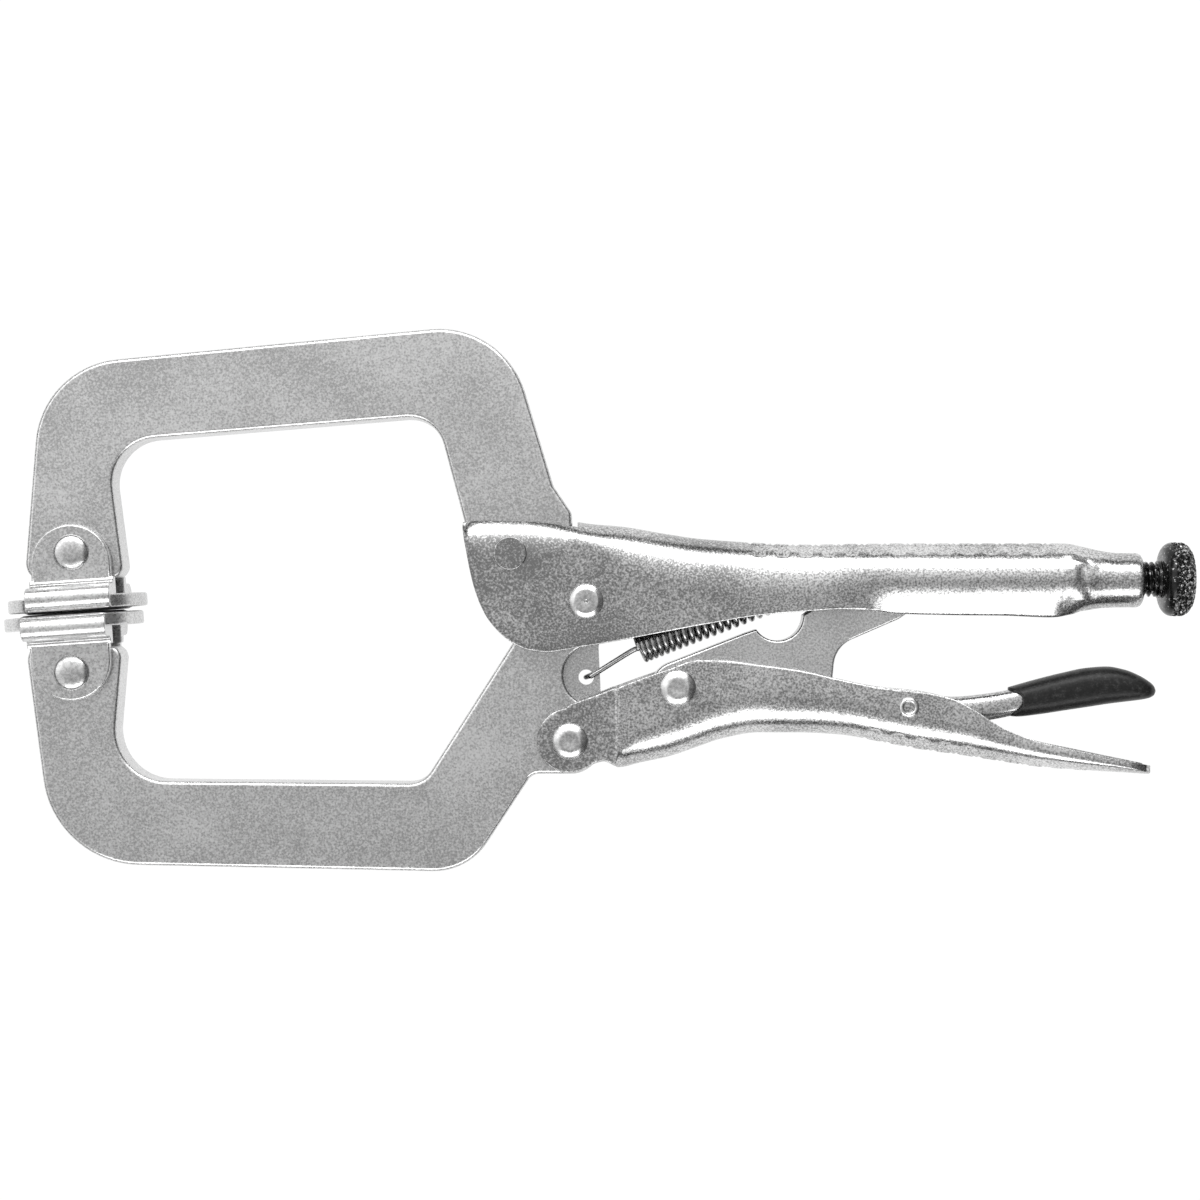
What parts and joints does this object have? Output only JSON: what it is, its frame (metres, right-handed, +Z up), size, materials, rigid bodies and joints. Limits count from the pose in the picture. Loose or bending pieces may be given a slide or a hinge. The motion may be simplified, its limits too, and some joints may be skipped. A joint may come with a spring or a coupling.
{
  "type": "locking C-clamp pliers",
  "caption": "Locking C-clamp pliers with wide bowed jaws, swivel pads, pressed steel toggle handles, adjusting screw, return spring and sleeved release lever.",
  "frame": {"origin": "middle of the underside of the tool's outer box, on the surface it lies on", "axes": "+X along the tool from the jaws to the adjusting screw, +Y from the moving jaw to the fixed jaw, +Z up, out of the side that faces the viewer"},
  "size_m": [0.2782, 0.1268, 0.029],
  "materials": {
    "satin_plated_steel": "satin nickel plating, finely speckled",
    "bright_plated_steel": "bright nickel plating on pressed sheet steel",
    "polished_rivet_steel": "polished",
    "black_oxide_steel": "black oxide",
    "spring_wire": "drawn wire, dull plating",
    "black_vinyl": "dipped vinyl, glossy"
  },
  "bodies": {
    "fixed_handle": {"fixed_handle": "bright_plated_steel", "fixed_jaw": "satin_plated_steel", "jaw_rivet": "bright_plated_steel", "jaw_pivot_rivet": "polished_rivet_steel", "spring": "spring_wire"},
    "moving_jaw": {"moving_jaw": "satin_plated_steel"},
    "moving_handle": {"moving_handle": "bright_plated_steel", "handle_pivot_rivet": "polished_rivet_steel", "link_rivet": "polished_rivet_steel", "lever_rivet": "polished_rivet_steel"},
    "link": {"link": "satin_plated_steel"},
    "release_lever": {"release_lever": "bright_plated_steel", "lever_sleeve": "black_vinyl"},
    "adjusting_screw": {"adjusting_screw": "black_oxide_steel"},
    "upper_pad": {"upper_pad": "satin_plated_steel", "upper_pad_rivet": "polished_rivet_steel"},
    "lower_pad": {"lower_pad": "satin_plated_steel", "lower_pad_rivet": "polished_rivet_steel"}
  },
  "joints": [
    {"name": "jaw_pivot", "type": "hinge", "parent": "fixed_handle", "child": "moving_jaw", "pos_m": [-0.00253, -0.00019, 0.0145], "axis": [0, 0, 1], "range_deg": [0, 18], "deforming": ["spring"]},
    {"name": "handle_pivot", "type": "hinge", "parent": "moving_jaw", "child": "moving_handle", "pos_m": [-0.00633, -0.03279, 0.0145], "axis": [0, 0, 1], "range_deg": [-57.6, 0]},
    {"name": "link_pivot", "type": "hinge", "parent": "moving_handle", "child": "link", "pos_m": [0.01877, -0.02039, 0.0145], "axis": [0, 0, 1], "range_deg": [0, 60.3]},
    {"name": "release_pivot", "type": "hinge", "parent": "moving_handle", "child": "release_lever", "pos_m": [0.07247, -0.02489, 0.0145], "axis": [0, 0, 1], "range_deg": [-12, 0]},
    {"name": "screw_travel", "type": "slide", "parent": "fixed_handle", "child": "adjusting_screw", "axis": [1, 0, 0], "range_m": [0, 0.018]},
    {"name": "upper_pad_swivel", "type": "hinge", "parent": "fixed_handle", "child": "upper_pad", "pos_m": [-0.12223, 0.01111, 0.0145], "axis": [0, 0, 1], "range_deg": [0, 9]},
    {"name": "lower_pad_swivel", "type": "hinge", "parent": "moving_jaw", "child": "lower_pad", "pos_m": [-0.12213, -0.01679, 0.0145], "axis": [0, 0, 1], "range_deg": [-9, 0]}
  ],
  "couplings": [
    {"joint": "handle_pivot", "follows": "jaw_pivot", "ratio": -3.2},
    {"joint": "link_pivot", "follows": "jaw_pivot", "ratio": 3.35},
    {"joint": "upper_pad_swivel", "follows": "jaw_pivot", "ratio": 0.5},
    {"joint": "lower_pad_swivel", "follows": "jaw_pivot", "ratio": -0.5}
  ]
}
